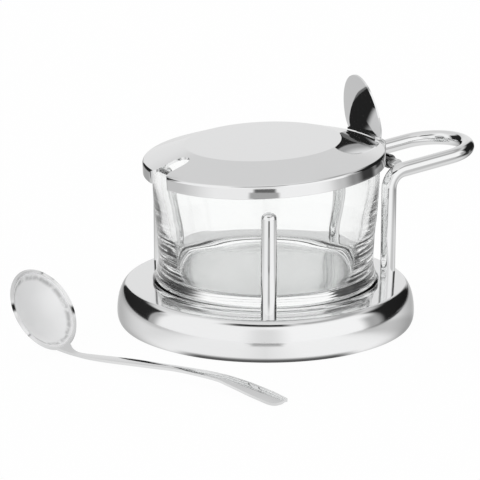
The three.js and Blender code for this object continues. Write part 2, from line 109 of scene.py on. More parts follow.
LEVER_SHEET = 0.8
LEVER_OVERHANG = 0.14
LEVER_LEAN = math.radians(11.05)
LEAF_HEIGHT = 24.7
LEAF_WIDE_HEIGHT = 5.4
LEAF_WIDTH = 25.4
LEAF_FOOT_WIDTH = 22.7
LEAF_BULGE = 0.8
LEAF_MIDDLE_SHARE = 0.4
FOOT_LENGTH = 2
FOOT_CORNER = 1

DISH_RADIUS = 16.05
DISH_DEPTH = 6.5
SPOON_SHEET = 1.2
DISH_LEAN = math.radians(56.6)
DISH_TURN = math.radians(-3)
DISH_LAP = 3.7
STRIP_SHEET = 1
STRIP_LENGTH = 102.3
STRIP_DIP = 2.1
STRIP_ARCH = 2.3
STRIP_TIP_DROP = 1.5
STRIP_WIDTH = 9.3
STRIP_CROWN = 1.2
SPOON_PLACE = (-90.04, 0.01)
SPOON_HEADING = math.radians(-65.55)

# The spoon's handle in shares: along, height within its stretch, half width and crown. The lap
# lies on the dish, so it has only its share along the lap and its half width.
LAP_SHARES = [(-1, 1.1), (0, 0.8)]
NECK_SHARES = [(0.032, 0.66, 0.42, 0), (0.071, 1, 0.28, 0)]
ARCH_SHARES = [
    (0.14, 0.09, 0.46, 0.1), (0.237, 0.3, 0.59, 0.2), (0.335, 0.5, 0.6, 0.2),
    (0.433, 0.66, 0.5, 0.2), (0.531, 0.84, 0.45, 0.2), (0.628, 0.95, 0.54, 0.3),
    (0.726, 1, 0.66, 0.5),
]
TIP_SHARES = [
    (0.775, 0.085, 0.79, 0.7), (0.824, 0.22, 0.91, 0.85), (0.873, 0.41, 0.98, 1),
    (0.922, 0.63, 1, 1), (0.957, 0.81, 0.96, 1), (0.98, 0.92, 0.83, 0.8),
    (0.993, 0.98, 0.58, 0.45), (1, 1, 0.3, 0.2),
]

# Rounded edges in millimetres, which the part has coarser or not at all
LID_RIM_ROUND = 1.4
LID_EDGE_ROUND = 0.25
LID_INNER_ROUND = 0.4
PLATEAU_ROUND = 3
LEVER_EDGE_ROUND = 0.2
STRAP_EDGE_ROUND = 0.15
SPOON_EDGE_ROUND = 0.2

# Camera, from the fit to the photograph: place in millimetres, the direction that it looks in
# and its lens
CAMERA_PLACE = (-457.1, -761.6, 277.0)
CAMERA_AZIMUTH = math.radians(30.31)
CAMERA_PITCH = math.radians(15.407)
CAMERA_LENS = 173.43
CAMERA_REACH = 20
SENSOR_WIDTH = 36

# Fineness of the meshes, in steps
ROUND_STEPS = 192
ARC_STEPS = 16
FILLET_STEPS = 8
SPLINE_STEPS = 8
BASE_ARC_STEPS = 40
ROD_STEPS = 48
ROD_SIDES = 32
LINE_STEPS = 8
LOOP_STEPS = 47
BARREL_STEPS = 48
LEAF_STEPS = 96
LEAF_RINGS = 16
FOOT_ACROSS = 48
FOOT_ALONG = 16
DISH_STEPS = 96
DISH_ARC_STEPS = 32
STRIP_STEPS = 6
STRIP_SIDE_STEPS = 8
BEVEL_SEGMENTS = 3
# Angles in degrees from which an edge stays crisp, or is bevelled
CRISP = 40
CRISP_SHEET = 60
BEVEL_ANGLE = 50
BEVEL_ANGLE_STRAP = 60
# A radius in millimetres that counts as zero, and how far the slot's cutter clears the lid
ON_AXIS = 1e-6
CUTTER_CLEARANCE = 2

LEG_X = math.sqrt(LEG_RADIUS ** 2 - LOOP_RADIUS ** 2)
BEND_END_X = LEG_X + LEG_BEND * (1 - math.sin(HANDLE_RISE))
BEND_END_Z = BASE_HEIGHT + LEG_STRAIGHT + LEG_BEND * math.cos(HANDLE_RISE)
BAR_X = BEND_END_X + BAR_ALONG * math.cos(HANDLE_RISE) - BAR_LIFT * math.sin(HANDLE_RISE)
BAR_Z = BEND_END_Z + BAR_ALONG * math.sin(HANDLE_RISE) + BAR_LIFT * math.cos(HANDLE_RISE)
CONE_FOOT = LID_RADIUS - LID_SHOULDER
CONE_RATIO = LID_RISE / LID_SLOPE_WIDTH
CONE_ANGLE = math.atan(CONE_RATIO)
# The spoon's dish is a cap of a sphere
SPHERE_RADIUS = (DISH_RADIUS ** 2 + DISH_DEPTH ** 2) / (2 * DISH_DEPTH)
SPHERE_REACH = SPHERE_RADIUS - DISH_DEPTH
SPHERE_X = SPHERE_REACH * math.sin(DISH_LEAN) - DISH_RADIUS * math.cos(DISH_LEAN)
SPHERE_Z = SPHERE_REACH * math.cos(DISH_LEAN) + DISH_RADIUS * math.sin(DISH_LEAN)
WALL_RADIUS = SPHERE_RADIUS + SPOON_SHEET / 2


# Outlines and meshes


def shift(x, y, z):
    """A move given in millimetres."""
    return Matrix.Translation((x * MM, y * MM, z * MM))


LID_FRAME = shift(LID_SHIFT, 0, LID_HEIGHT) @ Matrix.Rotation(-LID_TILT, 4, "Y")


def cone_height(radius):
    """Height of the lid's slope over its rim plane."""
    return LID_SHOULDER_RISE + (CONE_FOOT - radius) * CONE_RATIO


def arc(x, y, radius_x, radius_y, start, end, steps=ARC_STEPS):
    """Points on an arc, both ends included."""
    angles = [start + (end - start) * i / steps for i in range(steps + 1)]
    return [(x + radius_x * math.cos(a), y + radius_y * math.sin(a)) for a in angles]


def filleted(corners):
    """A polyline with its corners rounded: each corner is (x, y, fillet radius)."""
    points = []
    for i, (x, y, radius) in enumerate(corners):
        if radius == 0:
            points.append((x, y))
            continue
        here = Vector((x, y))
        before = (Vector(corners[i - 1][:2]) - here).normalized()
        after = (Vector(corners[i + 1][:2]) - here).normalized()
        half = before.angle(after) / 2
        centre = here + (before + after).normalized() * (radius / math.sin(half))
        first = here + before * (radius / math.tan(half)) - centre
        last = here + after * (radius / math.tan(half)) - centre
        for k in range(FILLET_STEPS + 1):
            spoke = first.slerp(last, k / FILLET_STEPS)
            points.append(tuple(centre + spoke.normalized() * radius))
    return points


def spline(rows, steps=SPLINE_STEPS):
    """A smooth curve (Catmull-Rom) through rows of numbers, such as points."""
    ends = [rows[0], *rows, rows[-1]]
    curve = []
    for before, start, end, after in zip(ends, ends[1:], ends[2:], ends[3:]):
        for k in range(steps):
            t = k / steps
            curve.append(tuple(
                0.5 * (2 * q + (r - p) * t + (2 * p - 5 * q + 4 * r - s) * t * t
                       + (3 * q - p - 3 * r + s) * t ** 3)
                for p, q, r, s in zip(before, start, end, after)))
    curve.append(tuple(rows[-1]))
    return curve


def new_object(name, data):
    obj = bpy.data.objects.new(name, data)
    bpy.context.scene.collection.objects.link(obj)
    return obj


def shade(mesh, crisp):
    """Smooth shading, with edges over the crisp angle kept sharp."""
    mesh.shade_smooth()
    mesh.set_sharp_from_angle(angle=math.radians(crisp))


def face_outwards(mesh):
    editable = bmesh.new()
    editable.from_mesh(mesh)
    bmesh.ops.recalc_face_normals(editable, faces=editable.faces)
    editable.to_mesh(mesh)
    editable.free()


def make_mesh(name, vertices, faces, crisp=CRISP, closed=True):
    """A smooth-shaded object from points in millimetres."""
    mesh = bpy.data.meshes.new(name)
    mesh.from_pydata([[c * MM for c in v] for v in vertices], [], faces)
    mesh.validate()
    if closed:
        face_outwards(mesh)
    shade(mesh, crisp)
    return new_object(name, mesh)


def band(first, second, closed=True):
    """Quads between two rows of vertices, which are rings if closed."""
    count = len(first)
    pairs = [(i, (i + 1) % count) for i in range(count if closed else count - 1)]
    return [[first[i], first[j], second[j], second[i]] for i, j in pairs]


def bands(rows, closed=True):
    """Quads between each row of vertices and the next."""
    return [quad for first, second in zip(rows, rows[1:]) for quad in band(first, second, closed)]


def spin(name, profile, steps=ROUND_STEPS):
    """Turns a profile of (radius, height) points round Z. Points on the axis become one vertex."""
    vertices, faces, rings = [], [], []
    for radius, height in profile:
        if radius < ON_AXIS:
            rings.append([len(vertices)] * steps)
            vertices.append((0, 0, height))
        else:
            rings.append(range(len(vertices), len(vertices) + steps))
            vertices += [(radius * math.cos(a), radius * math.sin(a), height)
                         for a in (TURN * i / steps for i in range(steps))]
    for first, second in zip(rings, rings[1:]):
        for i in range(steps):
            j = (i + 1) % steps
            face = [first[i], second[i], second[j], first[j]]
            faces.append(list(dict.fromkeys(face)))
    return make_mesh(name, vertices, faces)


def loft(name, rings, crisp=CRISP):
    """Joins closed rings of points with bands and closes both ends."""
    count = len(rings[0])
    rows = [range(r * count, (r + 1) * count) for r in range(len(rings))]
    faces = bands(rows) + [list(rows[0])[::-1], list(rows[-1])]
    return make_mesh(name, [point for ring in rings for point in ring], faces, crisp)


def sweep(name, path, radius):
    """A round rod along a path of points."""
    side = None
    rings = []
    for i, point in enumerate(path):
        tangent = (path[min(i + 1, len(path) - 1)] - path[max(i - 1, 0)]).normalized()
        if side is None:
            side = tangent.orthogonal()
        side = (side - tangent * side.dot(tangent)).normalized()
        other = tangent.cross(side)
        rings.append([tuple(point + radius * (math.cos(a) * side + math.sin(a) * other))
                      for a in (TURN * k / ROD_SIDES for k in range(ROD_SIDES))])
    return loft(name, rings)


def place(obj, matrix):
    """Moves the object's mesh, so that the object itself stays at the origin."""
    obj.data.transform(matrix)
    obj.data.update()


def add_bevel(obj, width, angle):
    bevel = obj.modifiers.new("edge", "BEVEL")
    bevel.width = width * MM
    bevel.segments = BEVEL_SEGMENTS
    bevel.limit_method = "ANGLE"
    bevel.angle_limit = math.radians(angle)
    bevel.harden_normals = False


def boolean(obj, other, operation):
    """Cuts or joins the other object's shape, and removes the other object."""
    cut = obj.modifiers.new("cut", "BOOLEAN")
    cut.operation = operation
    cut.solver = "EXACT"
    cut.object = other
    bpy.context.view_layer.update()
    graph = bpy.context.evaluated_depsgraph_get()
    mesh = bpy.data.meshes.new_from_object(obj.evaluated_get(graph))
    obj.modifiers.clear()
    obj.data = mesh
    bpy.data.objects.remove(other)


# Building blocks of the materials. Values are plain numbers and colours, or other nodes' outputs.


def new_material(name):
    material = bpy.data.materials.new(name)
    material.use_nodes = True
    tree = material.node_tree
    return material, tree, tree.nodes["Principled BSDF"]


def feed(tree, node, values):
    """Gives the node's inputs, by name or number, their values."""
    for key, value in values.items():
        if isinstance(value, bpy.types.NodeSocket):
            tree.links.new(value, node.inputs[key])
        else:
            node.inputs[key].default_value = value


def opaque(color, shade=1):
    return (*(c * shade for c in color), 1)


def maths(tree, operation, *values, clamp=False):
    node = tree.nodes.new("ShaderNodeMath")
    node.operation = operation
    node.use_clamp = clamp
    feed(tree, node, dict(enumerate(values)))
    return node.outputs["Value"]


def smooth(tree, value, start, end):
    """A share that eases from 0 at start to 1 at end."""
    node = tree.nodes.new("ShaderNodeMapRange")
    node.interpolation_type = "SMOOTHSTEP"
    feed(tree, node, {"Value": value, "From Min": start, "From Max": end})
    return node.outputs["Result"]


def spread_out(tree, share, low, high):
    """A number that goes evenly from low to high with the share."""
    node = tree.nodes.new("ShaderNodeMapRange")
    feed(tree, node, {"Value": share, "To Min": low, "To Max": high})
    return node.outputs["Result"]


def blend(tree, share, first, second):
    """A number between first and second, which can both be outputs."""
    node = tree.nodes.new("ShaderNodeMix")
    node.data_type = "FLOAT"
    feed(tree, node, {0: share, 2: first, 3: second})
    return node.outputs[0]


def blend_colors(tree, share, first, second, blend_type="MIX"):
    node = tree.nodes.new("ShaderNodeMix")
    node.data_type = "RGBA"
    node.blend_type = blend_type
    feed(tree, node, {0: share, 6: first, 7: second})
    return node.outputs[2]


def place_on_object(tree):
    """The place on the object's surface, in metres."""
    return tree.nodes.new("ShaderNodeTexCoord").outputs["Object"]


def noise(tree, scale, detail=2):
    """Noise that stays with the object."""
    node = tree.nodes.new("ShaderNodeTexNoise")
    feed(tree, node, {"Vector": place_on_object(tree), "Scale": scale, "Detail": detail})
    return node.outputs["Fac"]


def relief(tree, height, strength, depth):
    """A normal for a bumpy surface, its depth in millimetres."""
    node = tree.nodes.new("ShaderNodeBump")
    feed(tree, node, {"Height": height, "Strength": strength, "Distance": depth * MM})
    return node.outputs["Normal"]


def distance_from(tree, centre):
    """Distance in metres from a point on the object, given in millimetres."""
    node = tree.nodes.new("ShaderNodeVectorMath")
    node.operation = "DISTANCE"
    feed(tree, node, {0: place_on_object(tree), 1: [c * MM for c in centre]})
    return node.outputs["Value"]


def facing(tree):
    """0 on faces seen square on, and 1 where they turn out of sight."""
    node = tree.nodes.new("ShaderNodeLayerWeight")
    feed(tree, node, {"Blend": 0.5})
    return node.outputs["Facing"]


def light_path(tree):
    """The kinds of ray, as 0 or 1."""
    return tree.nodes.new("ShaderNodeLightPath").outputs


def mix_shaders(tree, share, first, second, output):
    """Mixes two shaders and gives the result to the output node."""
    node = tree.nodes.new("ShaderNodeMixShader")
    feed(tree, node, {"Fac": share, 1: first, 2: second})
    feed(tree, tree.nodes[output], {"Surface": node.outputs["Shader"]})


# Materials

# The steel's clouding and its least roughness
CLOUD_SCALE = 60
CLOUD_DETAIL = 4
LEAST_ROUGHNESS = 0.01
# Depth in millimetres of the steel's scratches and the pad's grain
FINE_DEPTH = 0.1
# How far in millimetres the edge of a satin area wanders
SATIN_WANDER = 2
# How level a face is, from which it starts to count as upright and at which it fully does
UPRIGHT = (0.9, 0.5)
# How far faces turn away, from which upright ones get a painted shade and at which it is full
TURNING = (0.4, 1)
# The mottling of the darker ring
MOTTLE_SCALE = 420
MOTTLE_DETAIL = 3
MOTTLE_RANGE = (0.25, 0.6)

GLASS_COLOR = (0.99, 0.995, 0.992)
GLASS_EDGE_COLOR = (0.93, 0.935, 0.932)
GLASS_TURNING = (0.3, 0.8)
GLASS_IOR = 1.5
GLASS_WAVE_SCALE = 45
GLASS_WAVE_DETAIL = 1
GLASS_WAVE_STRENGTH = 0.12
GLASS_WAVE_DEPTH = 0.8
GLASS_SMUDGE = 0.03
GLASS_SHADOW_COLOR = (0.95, 0.95, 0.95)

PAD_COLORS = ((0.02, 0.021, 0.022), (0.035, 0.036, 0.038))
PAD_ROUGHNESS = 0.6
PAD_GRAIN = 700
PAD_BUMP = 0.2


def steel(name, color, roughness, spread=0.02, grain=900, bump=0.02, satin_and_painted_shade=None, edge=0):
    """Polished stainless steel: faint clouding of the polish and very fine scratches.

    spread is how far the clouding changes the roughness, and grain and bump are the scale and
    the strength of the scratches.
    satin_and_painted_shade is a round area left less polished, whose colour is painted darker, or
    lighter where its shade is over 1: its centre, radius and softness in millimetres, its
    roughness, the painted shade of the color and its metallic value.
    edge is how much a painted shade darkens upright faces where they turn out of sight.
    """
    material, tree, shader = new_material(name)
    cloud = noise(tree, CLOUD_SCALE, CLOUD_DETAIL)
    rough = spread_out(tree, cloud, max(roughness - spread, LEAST_ROUGHNESS), roughness + spread)
    shape = tree.nodes.new("ShaderNodeNewGeometry")
    normal = tree.nodes.new("ShaderNodeSeparateXYZ")
    feed(tree, normal, {"Vector": shape.outputs["True Normal"]})
    # Painted shade: upright faces darken where they turn out of sight, by the edge share
    upright = smooth(tree, maths(tree, "ABSOLUTE", normal.outputs["Z"]), *UPRIGHT)
    turned = smooth(tree, facing(tree), *TURNING)
    painted_edge_shade = maths(tree, "MULTIPLY", upright, turned)
    tone = blend_colors(tree, painted_edge_shade, opaque(color), opaque(color, 1 - edge))
    metallic = 1
    # Painted shade: the satin area's colour is scaled by its shade, darker below 1, lighter above
    if satin_and_painted_shade:
        distance = distance_from(tree, satin_and_painted_shade["centre"])
        distance = maths(tree, "MULTIPLY_ADD", cloud, SATIN_WANDER * MM, distance)
        radius = satin_and_painted_shade["radius"] + SATIN_WANDER / 2
        inside = smooth(tree, distance, (radius + satin_and_painted_shade["softness"]) * MM,
                        (radius - satin_and_painted_shade["softness"]) * MM)
        metallic = blend(tree, inside, 1, satin_and_painted_shade["metallic"])
        rough = blend(tree, inside, rough,
                      maths(tree, "ADD", rough, satin_and_painted_shade["roughness"] - roughness))
        tone = blend_colors(tree, inside, tone, opaque(color, satin_and_painted_shade["shade"]))
    # The plain values stay behind the links, for a viewer that doesn't follow them
    feed(tree, shader, {"Base Color": opaque(color), "Metallic": 1})
    feed(tree, shader, {
        "Base Color": tone,
        "Metallic": metallic,
        "Roughness": rough,
        "Normal": relief(tree, noise(tree, grain), bump, FINE_DEPTH),
    })
    return material


def mottled_dark_ring(material, centre, radius, softness, amount):
    """A mottled darker ring on steel round a point, in millimetres."""
    tree = material.node_tree
    shader = tree.nodes["Principled BSDF"]
    distance = distance_from(tree, centre)
    ring = maths(tree, "MULTIPLY",
                 smooth(tree, distance, (radius - softness) * MM, radius * MM),
                 smooth(tree, distance, (radius + softness) * MM, radius * MM))
    mottle = smooth(tree, noise(tree, MOTTLE_SCALE, MOTTLE_DETAIL), *MOTTLE_RANGE)
    polished = shader.inputs["Base Color"].links[0].from_socket
    ringed = blend_colors(tree, maths(tree, "MULTIPLY", ring, mottle), polished,
                        opaque((1, 1, 1), 1 - amount), "MULTIPLY")
    feed(tree, shader, {"Base Color": ringed})


def glass(name):
    """Clear pressed glass that lets shadow rays through."""
    material, tree, shader = new_material(name)
    turned = smooth(tree, facing(tree), *GLASS_TURNING)
    wave = noise(tree, GLASS_WAVE_SCALE, GLASS_WAVE_DETAIL)
    feed(tree, shader, {
        "Base Color": blend_colors(tree, turned, opaque(GLASS_COLOR), opaque(GLASS_EDGE_COLOR)),
        "Transmission Weight": 1,
        "IOR": GLASS_IOR,
        "Roughness": spread_out(tree, wave, 0, GLASS_SMUDGE),
        "Normal": relief(tree, wave, GLASS_WAVE_STRENGTH, GLASS_WAVE_DEPTH),
    })
    clear = tree.nodes.new("ShaderNodeBsdfTransparent")
    feed(tree, clear, {"Color": opaque(GLASS_SHADOW_COLOR)})
    mix_shaders(tree, light_path(tree)["Is Shadow Ray"], shader.outputs["BSDF"],
                clear.outputs["BSDF"], "Material Output")
    return material


def pad_plastic(name):
    """Dark moulded cover with a fine leather-like grain."""
    material, tree, shader = new_material(name)
    grain = noise(tree, PAD_GRAIN)
    feed(tree, shader, {
        "Base Color": blend_colors(tree, grain, *(opaque(c) for c in PAD_COLORS)),
        "Roughness": PAD_ROUGHNESS,
        "Normal": relief(tree, grain, PAD_BUMP, FINE_DEPTH),
    })
    return material


# The base is satin under the glass, its colour darkened there by a painted shade, and a painted
# shade makes the metal round the hinge dark
BASE_STEEL = steel(
    "base_steel", (0.865, 0.867, 0.87), roughness=0.09, edge=0.8,
    satin_and_painted_shade={"centre": (0, 0, BASE_HEIGHT), "radius": 36, "softness": 0.8, "roughness": 0.2,
           "shade": 0.82, "metallic": 1})
# Painted shade: the rod steel round the hinge bar is made near black
ROD_STEEL = steel(
    "rod_steel", (0.875, 0.878, 0.88), roughness=0.04, spread=0.01, edge=0.75,
    satin_and_painted_shade={"centre": (BAR_X, 0, BAR_Z), "radius": 11.5, "softness": 1.2, "roughness": 0.15,
           "shade": 0.25, "metallic": 1})
# Painted shade: the lid steel round the hinge, on the strap, is made near black
LID_STEEL = steel(
    "lid_steel", (0.86, 0.862, 0.865), roughness=0.05, spread=0.015, edge=0.7,
    satin_and_painted_shade={"centre": (BAR_X, 0, BAR_Z), "radius": 9, "softness": 2, "roughness": 0.15,
           "shade": 0.2, "metallic": 1})
LEVER_STEEL = steel("lever_steel", (0.86, 0.862, 0.865), roughness=0.03, spread=0.01)
FASTENER_STEEL = steel(
    "fastener_steel", (0.62, 0.63, 0.64), roughness=0.3, spread=0.08, grain=500, bump=0.1)
CLEAR_GLASS = glass("clear_glass")
PAD_PLASTIC = pad_plastic("base_pad")


def spoon_steel(deepest):
    """Dull and painted lighter in the dish round its deepest point, mottled darker near its edge.
    """
    # Painted light: the dish's colour is lifted by the satin shade
    metal = steel(
        "spoon_steel", (0.78, 0.782, 0.785), roughness=0.08, edge=0.6,
        satin_and_painted_shade={"centre": deepest, "radius": 16.2, "softness": 0.8, "roughness": 0.45,
               "shade": 1.26, "metallic": 0.25})
    mottled_dark_ring(metal, deepest, radius=14.6, softness=1.5, amount=0.42)
    return metal


def set_material(obj, material):
    obj.data.materials.clear()
    obj.data.materials.append(material)


def finish_piece(obj, body, node, material):
    set_material(obj, material)
    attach(obj, body)
    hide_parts(node)


# Pieces


def base_shell():
    """A hollow round shell with a flat top and a lip turned in under it."""
    top_inner = BASE_HEIGHT - BASE_SHEET
    wide = BASE_TOP_RADIUS + BASE_BULGE
    foot = wide - BASE_FOOT_TUCK
    profile = [
        (0, BASE_HEIGHT),
        (BASE_TOP_RADIUS / 2, BASE_HEIGHT),
        *arc(BASE_TOP_RADIUS, BASE_WIDE_HEIGHT, BASE_BULGE, BASE_HEIGHT - BASE_WIDE_HEIGHT,
             QUARTER, 0, BASE_ARC_STEPS),
        *arc(foot, BASE_WIDE_HEIGHT, BASE_FOOT_TUCK, BASE_WIDE_HEIGHT, 0, -QUARTER)[1:],
        (foot - BASE_LIP, 0),
        (foot - BASE_LIP, BASE_SHEET),
        *arc(foot, BASE_WIDE_HEIGHT, BASE_FOOT_TUCK - BASE_SHEET, BASE_WIDE_HEIGHT - BASE_SHEET,
             -QUARTER, 0),
        *arc(BASE_TOP_RADIUS, BASE_WIDE_HEIGHT, BASE_BULGE - BASE_SHEET,
             top_inner - BASE_WIDE_HEIGHT, 0, QUARTER)[1:],
        (0, top_inner),
    ]
    shell = spin("base_shell_polished", profile)
    finish_piece(shell, "stand", "base_shell", BASE_STEEL)


def pegs():
    profile = [
        (0, BASE_HEIGHT),
        (ROD_RADIUS, BASE_HEIGHT),
        *arc(0, BASE_HEIGHT + PEG_HEIGHT - PEG_DOME, ROD_RADIUS, PEG_DOME, 0, QUARTER),
    ]
    for name, side in (("peg_front", -1), ("peg_back", 1)):
        peg = spin(name + "_polished", profile, ROD_STEPS)
        across = side * PEG_RADIUS * math.sin(PEG_ANGLE)
        place(peg, shift(PEG_RADIUS * math.cos(PEG_ANGLE), across, 0))
        finish_piece(peg, "stand", name, ROD_STEEL)


def handle_path():
    """Centre line of the bent rod, from the front leg's foot to the back leg's."""
    knee = BASE_HEIGHT + LEG_STRAIGHT
    rise = [Vector((LEG_X, -LOOP_RADIUS, BASE_HEIGHT + LEG_STRAIGHT * i / LINE_STEPS))
            for i in range(LINE_STEPS)]
    bend = [Vector((x, -LOOP_RADIUS, z)) for x, z in
            arc(LEG_X + LEG_BEND, knee, LEG_BEND, LEG_BEND, math.pi, QUARTER + HANDLE_RISE)]
    along = Vector((math.cos(HANDLE_RISE), 0, math.sin(HANDLE_RISE)))
    line = [bend[-1] + along * (LOOP_STRAIGHT * i / LINE_STEPS) for i in range(1, LINE_STEPS)]
    centre = bend[-1] + along * LOOP_STRAIGHT
    centre.y = 0
    across = Vector((0, -1, 0))
    loop = [centre + LOOP_RADIUS * (math.cos(a) * across + math.sin(a) * along)
            for a in (math.pi * i / LOOP_STEPS for i in range(LOOP_STEPS + 1))]
    half = rise + bend + line
    other = [Vector((p.x, -p.y, p.z)) for p in reversed(half)]
    return half + loop + other


def handle_rod():
    rod = sweep("handle_rod_polished", handle_path(), ROD_RADIUS)
    finish_piece(rod, "stand", "handle_rod", ROD_STEEL)


def hinge_bar():
    half = LOOP_RADIUS - ROD_RADIUS - WELD_GAP
    profile = [(0, -half), (BAR_RADIUS, -half), (BAR_RADIUS, half), (0, half)]
    bar = spin("hinge_bar_polished", profile, ROD_STEPS)
    place(bar, shift(BAR_X, 0, BAR_Z) @ Matrix.Rotation(QUARTER, 4, "X"))
    finish_piece(bar, "stand", "hinge_bar", ROD_STEEL)


def glass_bowl():
    """A foot ring, a flare, a waist, and a wall that thins as it widens to a round rim."""
    rim_round = GLASS_RIM_WALL / 2
    inner_foot = GLASS_FOOT_RADIUS - GLASS_FOOT_WIDTH
    flare_round = GLASS_FLARE_RADIUS - GLASS_FOOT_RADIUS
    narrowing = GLASS_FLARE_RADIUS - GLASS_WAIST_RADIUS
    waist_rise = GLASS_WAIST_HEIGHT - GLASS_FLARE_HEIGHT
    widening = GLASS_RIM_RADIUS - GLASS_WAIST_RADIUS
    wall_rise = GLASS_HEIGHT - rim_round - GLASS_WAIST_HEIGHT
    inner_rim = GLASS_RIM_RADIUS - GLASS_RIM_WALL
    inner_waist = GLASS_WAIST_RADIUS - GLASS_LOW_WALL
    inner_low = GLASS_FLOOR + GLASS_INNER_CORNER
    inner_rise = GLASS_HEIGHT - rim_round - inner_low
    waist = [(GLASS_FLARE_RADIUS - narrowing * w, GLASS_FLARE_HEIGHT + waist_rise * h)
             for h, w in GLASS_WAIST_SHARES]
    wall = [(GLASS_WAIST_RADIUS + widening * w, GLASS_WAIST_HEIGHT + wall_rise * h)
            for h, w in GLASS_WALL_SHARES]
    inner = [(inner_waist + (inner_rim - inner_waist) * w, inner_low + inner_rise * h)
             for h, w in reversed(GLASS_INSIDE_SHARES)]
    profile = [
        (0, GLASS_RECESS),
        (inner_foot - GLASS_RECESS, GLASS_RECESS),
        (inner_foot, 0),
        *arc(GLASS_FOOT_RADIUS, GLASS_FLARE_HEIGHT, flare_round, GLASS_FLARE_HEIGHT,
             -QUARTER, 0)[:-1],
        *spline(waist + wall[1:])[:-1],
        *arc(GLASS_RIM_RADIUS - rim_round, GLASS_HEIGHT - rim_round, rim_round, rim_round,
             0, math.pi)[:-1],
        *spline(inner)[:-1],
        *arc(inner_waist - GLASS_INNER_CORNER, inner_low, GLASS_INNER_CORNER, GLASS_INNER_CORNER,
             0, -QUARTER),
        (0, GLASS_FLOOR),
    ]
    bowl = spin("glass_bowl_clear", [(r, z + BASE_HEIGHT) for r, z in profile])
    finish_piece(bowl, "stand", "glass_bowl", CLEAR_GLASS)


def slot_outline():
    """The spoon's slot, with a round end and a flared mouth at the lid's edge."""
    half = SLOT_WIDTH / 2
    mouth_half = half + SLOT_MOUTH_ROUND
    end_x = SLOT_LENGTH - LID_RADIUS - half
    mouth_x = SLOT_MOUTH_ROUND - math.sqrt(LID_RADIUS ** 2 - mouth_half ** 2)
    upper = [
        *arc(end_x, 0, half, half, 0, QUARTER),
        *arc(mouth_x, mouth_half, SLOT_MOUTH_ROUND, SLOT_MOUTH_ROUND, -QUARTER, -math.pi),
        (-LID_RADIUS - SLOT_MOUTH_ROUND, mouth_half),
    ]
    return upper + [(x, -y) for x, y in reversed(upper[1:])]


def lid_shell():
    """A pressed sheet: flat top, slope, round rim and skirt, with the spoon's slot cut out."""
    inner = LID_RADIUS - LID_SHEET
    cone_sheet = LID_SHEET / math.cos(CONE_ANGLE)
    top = LID_SHOULDER_RISE + LID_RISE
    under_top = top - LID_SHEET
    under_radius = CONE_FOOT - (under_top - LID_SHOULDER_RISE + cone_sheet) / CONE_RATIO
    profile = filleted([
        (0, top, 0),
        (CONE_FOOT - LID_SLOPE_WIDTH, top, PLATEAU_ROUND),
        (LID_RADIUS, cone_height(LID_RADIUS), LID_RIM_ROUND),
        (LID_RADIUS, -LID_SKIRT, LID_EDGE_ROUND),
        (inner, -LID_SKIRT, LID_EDGE_ROUND),
        (inner, cone_height(inner) - cone_sheet, LID_INNER_ROUND),
        (under_radius, under_top, PLATEAU_ROUND),
        (0, under_top, 0),
    ])
    lid = spin("lid_shell_polished", profile)
    outline = slot_outline()
    heights = (-LID_SKIRT - CUTTER_CLEARANCE, top + CUTTER_CLEARANCE)
    cutter = loft("slot_cutter", [[(x, y, z) for x, y in outline] for z in heights])
    boolean(lid, cutter, "DIFFERENCE")
    shade(lid.data, CRISP)
    place(lid, LID_FRAME)
    finish_piece(lid, "lid", "lid_shell", LID_STEEL)


def leaf_outline():
    """The leaf's outline from one bottom corner over the top to the other and back: across, up."""
    half = LEAF_WIDTH / 2
    foot = LEAF_FOOT_WIDTH / 2
    lower_rise = LEAF_WIDE_HEIGHT / math.sqrt(1 - (foot / half) ** 2)
    lowest = math.asin(LEAF_WIDE_HEIGHT / lower_rise)
    lower = arc(0, LEAF_WIDE_HEIGHT, half, lower_rise, -lowest, 0)
    upper = arc(0, LEAF_WIDE_HEIGHT, half, LEAF_HEIGHT - LEAF_WIDE_HEIGHT, 0, math.pi, LEAF_STEPS)
    other = [(-x, y) for x, y in lower[-2::-1]]
    bottom = [(foot * (2 * i / ARC_STEPS - 1), 0) for i in range(1, ARC_STEPS)]
    return lower + upper[1:] + other + bottom


def lever_leaf():
    """The domed leaf, its middle towards -X."""
    outline = leaf_outline()
    middle = LEAF_HEIGHT * LEAF_MIDDLE_SHARE
    count = len(outline)
    vertices, faces, sides = [], [], []
    for offset in (-LEVER_SHEET, 0):
        base = len(vertices)
        for ring in range(LEAF_RINGS, 0, -1):
            share = ring / LEAF_RINGS
            x = offset - LEAF_BULGE * (1 - share ** 2)
            vertices += [(x, y * share, middle + (z - middle) * share) for y, z in outline]
        centre = len(vertices)
        vertices.append((offset - LEAF_BULGE, 0, middle))
        rows = [range(base + r * count, base + (r + 1) * count) for r in range(LEAF_RINGS)]
        faces += bands(rows)
        faces += [[rows[-1][i], rows[-1][(i + 1) % count], centre] for i in range(count)]
        sides.append(rows[0])
    faces += band(*sides)
    return make_mesh("thumb_lever_polished", vertices, faces, CRISP_SHEET)


